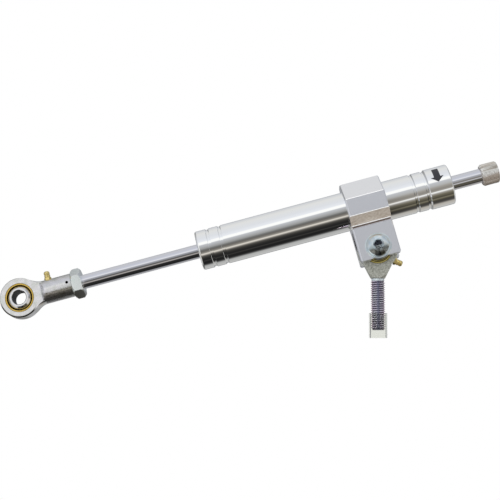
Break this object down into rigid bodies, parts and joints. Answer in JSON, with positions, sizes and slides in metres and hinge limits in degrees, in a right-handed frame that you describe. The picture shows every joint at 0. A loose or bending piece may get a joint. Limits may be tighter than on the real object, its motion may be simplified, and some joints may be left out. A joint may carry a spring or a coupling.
{
  "type": "motorcycle steering damper",
  "caption": "Through-rod steering damper: polished barrel in a clamp with a clevis and threaded stud, rod with a spherical eye at one end and an adjuster knob at the other.",
  "frame": {"origin": "centre of the ball in the rod's eye", "axes": "+X along the rod and the barrel to the adjuster knob, -Y the front, where the clevis bolt's head is, +Z away from the clevis, which hangs along -Z"},
  "size_m": [0.3587, 0.038, 0.1107],
  "materials": {
    "polished_aluminium": "polished",
    "satin_aluminium": "satin, machined",
    "piston_aluminium": "turned",
    "knob_aluminium": "fine knurl",
    "bronze": "turned",
    "race_brass": "turned",
    "nipple_brass": "turned",
    "seal_rubber": "matte",
    "zinc_steel": "bright zinc plate",
    "ball_steel": "ground",
    "forged_steel": "forged and zinc plated",
    "clear_plastic": "clear, soft",
    "ring_plastic": "matte",
    "spring_steel": "blackened",
    "turned_steel": "turned",
    "rod_chrome": "hard chrome, ground"
  },
  "bodies": {
    "barrel": {"barrel_tube": "polished_aluminium", "front_cap": "polished_aluminium", "front_bush": "bronze", "front_seal": "seal_rubber", "front_wiper": "seal_rubber", "front_oring": "seal_rubber", "rear_cap": "polished_aluminium", "rear_bush": "bronze", "rear_seal": "seal_rubber", "rear_wiper": "seal_rubber", "rear_oring": "seal_rubber", "clamp_block": "satin_aluminium", "clevis_bolt": "zinc_steel", "bolt_washer": "zinc_steel"},
    "piston_unit": {"piston": "piston_aluminium", "piston_ring": "ring_plastic", "piston_clips": "spring_steel"},
    "rod": {"piston_rod": "rod_chrome", "rod_jam_nut": "forged_steel", "rod_eye": "forged_steel", "rod_eye_nipple": "nipple_brass"},
    "eye_race": {"rod_eye_race": "race_brass"},
    "eye_ball": {"rod_eye_ball": "ball_steel"},
    "knob": {"adjuster_knob": "knob_aluminium", "adjuster_shaft": "turned_steel", "shaft_oring": "seal_rubber", "knob_screw": "spring_steel"},
    "needle": {"adjuster_needle": "turned_steel"},
    "clevis_ball": {"stud_ball": "ball_steel"},
    "stud": {"stud_rod_end": "forged_steel", "stud_race": "race_brass", "stud_nipple": "nipple_brass"},
    "cover": {"thread_cover": "clear_plastic"}
  },
  "joints": [
    {"name": "rod_slide", "type": "slide", "parent": "barrel", "child": "piston_unit", "axis": [1, 0, 0], "range_m": [-0.018, 0.077]},
    {"name": "rod_spin", "type": "hinge", "parent": "piston_unit", "child": "rod", "pos_m": [0, 0, 0], "axis": [1, 0, 0], "continuous": true},
    {"name": "eye_swivel", "type": "hinge", "parent": "rod", "child": "eye_race", "pos_m": [0, 0, 0], "axis": [0, 1, 0], "continuous": true},
    {"name": "eye_tilt", "type": "hinge", "parent": "eye_race", "child": "eye_ball", "pos_m": [0, 0, 0], "axis": [0, 0, 1], "range_deg": [-12, 12]},
    {"name": "knob_turn", "type": "hinge", "parent": "rod", "child": "knob", "pos_m": [0.339, 0, 0], "axis": [1, 0, 0], "range_deg": [-720, 0]},
    {"name": "needle_slide", "type": "slide", "parent": "rod", "child": "needle", "axis": [1, 0, 0], "range_m": [-0.0011, 0.0001]},
    {"name": "stud_swivel", "type": "hinge", "parent": "barrel", "child": "clevis_ball", "pos_m": [0.2494, 0, -0.0315], "axis": [0, 1, 0], "range_deg": [-85, 65]},
    {"name": "stud_tilt", "type": "hinge", "parent": "clevis_ball", "child": "stud", "pos_m": [0.2494, 0, -0.0315], "axis": [0.9659, 0, -0.2588], "range_deg": [-13, 0]},
    {"name": "cover_pull", "type": "slide", "parent": "stud", "child": "cover", "axis": [-0.2572, 0.1132, -0.9597], "range_m": [0, 0.06]}
  ],
  "couplings": [
    {"joint": "needle_slide", "follows": "knob_turn", "m_per_rad": 0.000079577}
  ]
}
